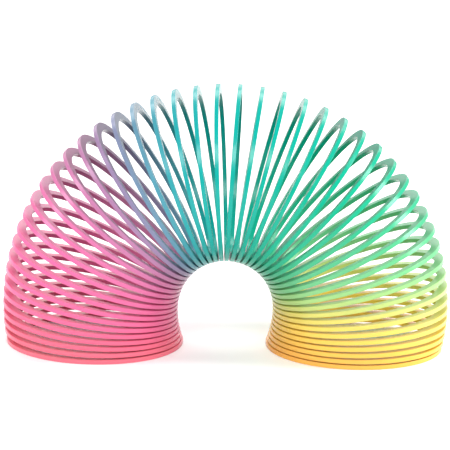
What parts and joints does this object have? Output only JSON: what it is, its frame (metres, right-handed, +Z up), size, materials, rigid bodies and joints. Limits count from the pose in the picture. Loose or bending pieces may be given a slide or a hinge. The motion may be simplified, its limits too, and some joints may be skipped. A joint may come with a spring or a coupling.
{
  "type": "spring coil toy",
  "caption": "Long close-wound coil of flat plastic strip that bends over into an arch, standing on both end turns; each turn swings on the next to close into a straight stack.",
  "frame": {"origin": "on the floor, at the middle of the arch's length and depth", "axes": "+X from the left foot to the right foot, +Y from the front to the back, +Z up"},
  "size_m": [0.1892, 0.0754, 0.1119],
  "materials": {
    "coral": "gloss",
    "hot_pink": "gloss",
    "orchid": "gloss",
    "lilac": "gloss",
    "sky_blue": "gloss",
    "turquoise": "gloss",
    "teal": "gloss",
    "sea_green": "gloss",
    "spring_green": "gloss",
    "lime": "gloss",
    "yellow": "gloss",
    "amber": "gloss"
  },
  "bodies": {
    "left_foot_turn": {"left_foot_turn": "coral"},
    "turn_02": {"turn_02": "coral"},
    "turn_03": {"turn_03": "coral"},
    "turn_04": {"turn_04": "coral"},
    "turn_05": {"turn_05": "hot_pink"},
    "turn_06": {"turn_06": "hot_pink"},
    "turn_07": {"turn_07": "hot_pink"},
    "turn_08": {"turn_08": "hot_pink"},
    "turn_09": {"turn_09": "orchid"},
    "turn_10": {"turn_10": "orchid"},
    "turn_11": {"turn_11": "orchid"},
    "turn_12": {"turn_12": "orchid"},
    "turn_13": {"turn_13": "lilac"},
    "turn_14": {"turn_14": "lilac"},
    "turn_15": {"turn_15": "lilac"},
    "turn_16": {"turn_16": "lilac"},
    "turn_17": {"turn_17": "sky_blue"},
    "turn_18": {"turn_18": "sky_blue"},
    "turn_19": {"turn_19": "sky_blue"},
    "turn_20": {"turn_20": "sky_blue"},
    "turn_21": {"turn_21": "turquoise"},
    "turn_22": {"turn_22": "turquoise"},
    "turn_23": {"turn_23": "turquoise"},
    "turn_24": {"turn_24": "turquoise"},
    "turn_25": {"turn_25": "teal"},
    "turn_26": {"turn_26": "teal"},
    "turn_27": {"turn_27": "teal"},
    "turn_28": {"turn_28": "teal"},
    "turn_29": {"turn_29": "sea_green"},
    "turn_30": {"turn_30": "sea_green"},
    "turn_31": {"turn_31": "sea_green"},
    "turn_32": {"turn_32": "sea_green"},
    "turn_33": {"turn_33": "spring_green"},
    "turn_34": {"turn_34": "spring_green"},
    "turn_35": {"turn_35": "spring_green"},
    "turn_36": {"turn_36": "spring_green"},
    "turn_37": {"turn_37": "lime"},
    "turn_38": {"turn_38": "lime"},
    "turn_39": {"turn_39": "lime"},
    "turn_40": {"turn_40": "lime"},
    "turn_41": {"turn_41": "yellow"},
    "turn_42": {"turn_42": "yellow"},
    "turn_43": {"turn_43": "yellow"},
    "turn_44": {"turn_44": "yellow"},
    "turn_45": {"turn_45": "amber"},
    "turn_46": {"turn_46": "amber"},
    "turn_47": {"turn_47": "amber"},
    "right_foot_turn": {"right_foot_turn": "amber"}
  },
  "joints": [
    {"name": "bend_01", "type": "hinge", "parent": "left_foot_turn", "child": "turn_02", "pos_m": [-0.02046, 0, 0.00285], "axis": [0, 1, 0], "range_deg": [-1.43, 0]},
    {"name": "bend_02", "type": "hinge", "parent": "turn_02", "child": "turn_03", "pos_m": [-0.02102, 0, 0.00483], "axis": [0, 1, 0], "range_deg": [-1.48, 0]},
    {"name": "bend_03", "type": "hinge", "parent": "turn_03", "child": "turn_04", "pos_m": [-0.02148, 0, 0.00684], "axis": [0, 1, 0], "range_deg": [-1.58, 0]},
    {"name": "bend_04", "type": "hinge", "parent": "turn_04", "child": "turn_05", "pos_m": [-0.02184, 0, 0.00888], "axis": [0, 1, 0], "range_deg": [-1.75, 0]},
    {"name": "bend_05", "type": "hinge", "parent": "turn_05", "child": "turn_06", "pos_m": [-0.02209, 0, 0.01095], "axis": [0, 1, 0], "range_deg": [-1.96, 0]},
    {"name": "bend_06", "type": "hinge", "parent": "turn_06", "child": "turn_07", "pos_m": [-0.02223, 0, 0.01303], "axis": [0, 1, 0], "range_deg": [-2.21, 0]},
    {"name": "bend_07", "type": "hinge", "parent": "turn_07", "child": "turn_08", "pos_m": [-0.02224, 0, 0.01512], "axis": [0, 1, 0], "range_deg": [-2.5, 0]},
    {"name": "bend_08", "type": "hinge", "parent": "turn_08", "child": "turn_09", "pos_m": [-0.02212, 0, 0.01722], "axis": [0, 1, 0], "range_deg": [-2.8, 0]},
    {"name": "bend_09", "type": "hinge", "parent": "turn_09", "child": "turn_10", "pos_m": [-0.02186, 0, 0.0193], "axis": [0, 1, 0], "range_deg": [-3.12, 0]},
    {"name": "bend_10", "type": "hinge", "parent": "turn_10", "child": "turn_11", "pos_m": [-0.02144, 0, 0.02137], "axis": [0, 1, 0], "range_deg": [-3.43, 0]},
    {"name": "bend_11", "type": "hinge", "parent": "turn_11", "child": "turn_12", "pos_m": [-0.02087, 0, 0.0234], "axis": [0, 1, 0], "range_deg": [-3.74, 0]},
    {"name": "bend_12", "type": "hinge", "parent": "turn_12", "child": "turn_13", "pos_m": [-0.02014, 0, 0.02539], "axis": [0, 1, 0], "range_deg": [-4.04, 0]},
    {"name": "bend_13", "type": "hinge", "parent": "turn_13", "child": "turn_14", "pos_m": [-0.01923, 0, 0.02731], "axis": [0, 1, 0], "range_deg": [-4.31, 0]},
    {"name": "bend_14", "type": "hinge", "parent": "turn_14", "child": "turn_15", "pos_m": [-0.01816, 0, 0.02914], "axis": [0, 1, 0], "range_deg": [-4.57, 0]},
    {"name": "bend_15", "type": "hinge", "parent": "turn_15", "child": "turn_16", "pos_m": [-0.01692, 0, 0.03087], "axis": [0, 1, 0], "range_deg": [-4.8, 0]},
    {"name": "bend_16", "type": "hinge", "parent": "turn_16", "child": "turn_17", "pos_m": [-0.01552, 0, 0.03248], "axis": [0, 1, 0], "range_deg": [-5, 0]},
    {"name": "bend_17", "type": "hinge", "parent": "turn_17", "child": "turn_18", "pos_m": [-0.01396, 0, 0.03395], "axis": [0, 1, 0], "range_deg": [-5.17, 0]},
    {"name": "bend_18", "type": "hinge", "parent": "turn_18", "child": "turn_19", "pos_m": [-0.01227, 0, 0.03526], "axis": [0, 1, 0], "range_deg": [-5.32, 0]},
    {"name": "bend_19", "type": "hinge", "parent": "turn_19", "child": "turn_20", "pos_m": [-0.01045, 0, 0.03639], "axis": [0, 1, 0], "range_deg": [-5.44, 0]},
    {"name": "bend_20", "type": "hinge", "parent": "turn_20", "child": "turn_21", "pos_m": [-0.00853, 0, 0.03732], "axis": [0, 1, 0], "range_deg": [-5.53, 0]},
    {"name": "bend_21", "type": "hinge", "parent": "turn_21", "child": "turn_22", "pos_m": [-0.00651, 0, 0.03806], "axis": [0, 1, 0], "range_deg": [-5.6, 0]},
    {"name": "bend_22", "type": "hinge", "parent": "turn_22", "child": "turn_23", "pos_m": [-0.00443, 0, 0.03859], "axis": [0, 1, 0], "range_deg": [-5.65, 0]},
    {"name": "bend_23", "type": "hinge", "parent": "turn_23", "child": "turn_24", "pos_m": [-0.00231, 0, 0.0389], "axis": [0, 1, 0], "range_deg": [-5.68, 0]},
    {"name": "left_half_bend", "type": "hinge", "parent": "turn_24", "child": "turn_25", "pos_m": [-0.00016, 0, 0.039], "axis": [0, 1, 0], "range_deg": [-5.7, 0]},
    {"name": "right_half_bend", "type": "hinge", "parent": "turn_25", "child": "turn_26", "pos_m": [0.00208, 0, 0.03886], "axis": [0, 1, 0], "range_deg": [-5.71, 0]},
    {"name": "bend_26", "type": "hinge", "parent": "turn_26", "child": "turn_27", "pos_m": [0.00429, 0, 0.03851], "axis": [0, 1, 0], "range_deg": [-5.71, 0]},
    {"name": "bend_27", "type": "hinge", "parent": "turn_27", "child": "turn_28", "pos_m": [0.00646, 0, 0.03794], "axis": [0, 1, 0], "range_deg": [-5.71, 0]},
    {"name": "bend_28", "type": "hinge", "parent": "turn_28", "child": "turn_29", "pos_m": [0.00856, 0, 0.03715], "axis": [0, 1, 0], "range_deg": [-5.69, 0]},
    {"name": "bend_29", "type": "hinge", "parent": "turn_29", "child": "turn_30", "pos_m": [0.01056, 0, 0.03615], "axis": [0, 1, 0], "range_deg": [-5.66, 0]},
    {"name": "bend_30", "type": "hinge", "parent": "turn_30", "child": "turn_31", "pos_m": [0.01245, 0, 0.03495], "axis": [0, 1, 0], "range_deg": [-5.6, 0]},
    {"name": "bend_31", "type": "hinge", "parent": "turn_31", "child": "turn_32", "pos_m": [0.01421, 0, 0.03356], "axis": [0, 1, 0], "range_deg": [-5.5, 0]},
    {"name": "bend_32", "type": "hinge", "parent": "turn_32", "child": "turn_33", "pos_m": [0.01581, 0, 0.032], "axis": [0, 1, 0], "range_deg": [-5.37, 0]},
    {"name": "bend_33", "type": "hinge", "parent": "turn_33", "child": "turn_34", "pos_m": [0.01723, 0, 0.03028], "axis": [0, 1, 0], "range_deg": [-5.19, 0]},
    {"name": "bend_34", "type": "hinge", "parent": "turn_34", "child": "turn_35", "pos_m": [0.01848, 0, 0.02843], "axis": [0, 1, 0], "range_deg": [-4.96, 0]},
    {"name": "bend_35", "type": "hinge", "parent": "turn_35", "child": "turn_36", "pos_m": [0.01953, 0, 0.02647], "axis": [0, 1, 0], "range_deg": [-4.69, 0]},
    {"name": "bend_36", "type": "hinge", "parent": "turn_36", "child": "turn_37", "pos_m": [0.02039, 0, 0.02442], "axis": [0, 1, 0], "range_deg": [-4.37, 0]},
    {"name": "bend_37", "type": "hinge", "parent": "turn_37", "child": "turn_38", "pos_m": [0.02106, 0, 0.02231], "axis": [0, 1, 0], "range_deg": [-4.02, 0]},
    {"name": "bend_38", "type": "hinge", "parent": "turn_38", "child": "turn_39", "pos_m": [0.02155, 0, 0.02015], "axis": [0, 1, 0], "range_deg": [-3.62, 0]},
    {"name": "bend_39", "type": "hinge", "parent": "turn_39", "child": "turn_40", "pos_m": [0.02185, 0, 0.01797], "axis": [0, 1, 0], "range_deg": [-3.2, 0]},
    {"name": "bend_40", "type": "hinge", "parent": "turn_40", "child": "turn_41", "pos_m": [0.02199, 0, 0.01578], "axis": [0, 1, 0], "range_deg": [-2.77, 0]},
    {"name": "bend_41", "type": "hinge", "parent": "turn_41", "child": "turn_42", "pos_m": [0.02198, 0, 0.01358], "axis": [0, 1, 0], "range_deg": [-2.34, 0]},
    {"name": "bend_42", "type": "hinge", "parent": "turn_42", "child": "turn_43", "pos_m": [0.02183, 0, 0.0114], "axis": [0, 1, 0], "range_deg": [-1.93, 0]},
    {"name": "bend_43", "type": "hinge", "parent": "turn_43", "child": "turn_44", "pos_m": [0.02156, 0, 0.00924], "axis": [0, 1, 0], "range_deg": [-1.56, 0]},
    {"name": "bend_44", "type": "hinge", "parent": "turn_44", "child": "turn_45", "pos_m": [0.02118, 0, 0.00711], "axis": [0, 1, 0], "range_deg": [-1.25, 0]},
    {"name": "bend_45", "type": "hinge", "parent": "turn_45", "child": "turn_46", "pos_m": [0.02069, 0, 0.005], "axis": [0, 1, 0], "range_deg": [-1.02, 0]},
    {"name": "bend_46", "type": "hinge", "parent": "turn_46", "child": "turn_47", "pos_m": [0.02011, 0, 0.00293], "axis": [0, 1, 0], "range_deg": [-0.894, 0]},
    {"name": "bend_47", "type": "hinge", "parent": "turn_47", "child": "right_foot_turn", "pos_m": [0.01944, 0, 0.0009], "axis": [0, 1, 0], "range_deg": [-0.429, 0]}
  ],
  "couplings": [
    {"joint": "bend_01", "follows": "left_half_bend", "ratio": 0.25132},
    {"joint": "bend_02", "follows": "left_half_bend", "ratio": 0.25941},
    {"joint": "bend_03", "follows": "left_half_bend", "ratio": 0.27789},
    {"joint": "bend_04", "follows": "left_half_bend", "ratio": 0.30648},
    {"joint": "bend_05", "follows": "left_half_bend", "ratio": 0.3439},
    {"joint": "bend_06", "follows": "left_half_bend", "ratio": 0.38844},
    {"joint": "bend_07", "follows": "left_half_bend", "ratio": 0.43831},
    {"joint": "bend_08", "follows": "left_half_bend", "ratio": 0.49158},
    {"joint": "bend_09", "follows": "left_half_bend", "ratio": 0.54665},
    {"joint": "bend_10", "follows": "left_half_bend", "ratio": 0.60193},
    {"joint": "bend_11", "follows": "left_half_bend", "ratio": 0.65603},
    {"joint": "bend_12", "follows": "left_half_bend", "ratio": 0.70785},
    {"joint": "bend_13", "follows": "left_half_bend", "ratio": 0.75646},
    {"joint": "bend_14", "follows": "left_half_bend", "ratio": 0.80115},
    {"joint": "bend_15", "follows": "left_half_bend", "ratio": 0.84139},
    {"joint": "bend_16", "follows": "left_half_bend", "ratio": 0.87684},
    {"joint": "bend_17", "follows": "left_half_bend", "ratio": 0.9074},
    {"joint": "bend_18", "follows": "left_half_bend", "ratio": 0.93305},
    {"joint": "bend_19", "follows": "left_half_bend", "ratio": 0.95396},
    {"joint": "bend_20", "follows": "left_half_bend", "ratio": 0.97038},
    {"joint": "bend_21", "follows": "left_half_bend", "ratio": 0.9827},
    {"joint": "bend_22", "follows": "left_half_bend", "ratio": 0.99135},
    {"joint": "bend_23", "follows": "left_half_bend", "ratio": 0.99692},
    {"joint": "bend_26", "follows": "right_half_bend", "ratio": 1.0003},
    {"joint": "bend_27", "follows": "right_half_bend", "ratio": 0.99975},
    {"joint": "bend_28", "follows": "right_half_bend", "ratio": 0.9973},
    {"joint": "bend_29", "follows": "right_half_bend", "ratio": 0.99134},
    {"joint": "bend_30", "follows": "right_half_bend", "ratio": 0.98065},
    {"joint": "bend_31", "follows": "right_half_bend", "ratio": 0.96366},
    {"joint": "bend_32", "follows": "right_half_bend", "ratio": 0.94018},
    {"joint": "bend_33", "follows": "right_half_bend", "ratio": 0.90882},
    {"joint": "bend_34", "follows": "right_half_bend", "ratio": 0.86957},
    {"joint": "bend_35", "follows": "right_half_bend", "ratio": 0.82209},
    {"joint": "bend_36", "follows": "right_half_bend", "ratio": 0.76637},
    {"joint": "bend_37", "follows": "right_half_bend", "ratio": 0.70364},
    {"joint": "bend_38", "follows": "right_half_bend", "ratio": 0.63478},
    {"joint": "bend_39", "follows": "right_half_bend", "ratio": 0.5612},
    {"joint": "bend_40", "follows": "right_half_bend", "ratio": 0.48533},
    {"joint": "bend_41", "follows": "right_half_bend", "ratio": 0.40999},
    {"joint": "bend_42", "follows": "right_half_bend", "ratio": 0.33798},
    {"joint": "bend_43", "follows": "right_half_bend", "ratio": 0.27332},
    {"joint": "bend_44", "follows": "right_half_bend", "ratio": 0.21918},
    {"joint": "bend_45", "follows": "right_half_bend", "ratio": 0.17941},
    {"joint": "bend_46", "follows": "right_half_bend", "ratio": 0.15663},
    {"joint": "bend_47", "follows": "right_half_bend", "ratio": 0.07516}
  ]
}
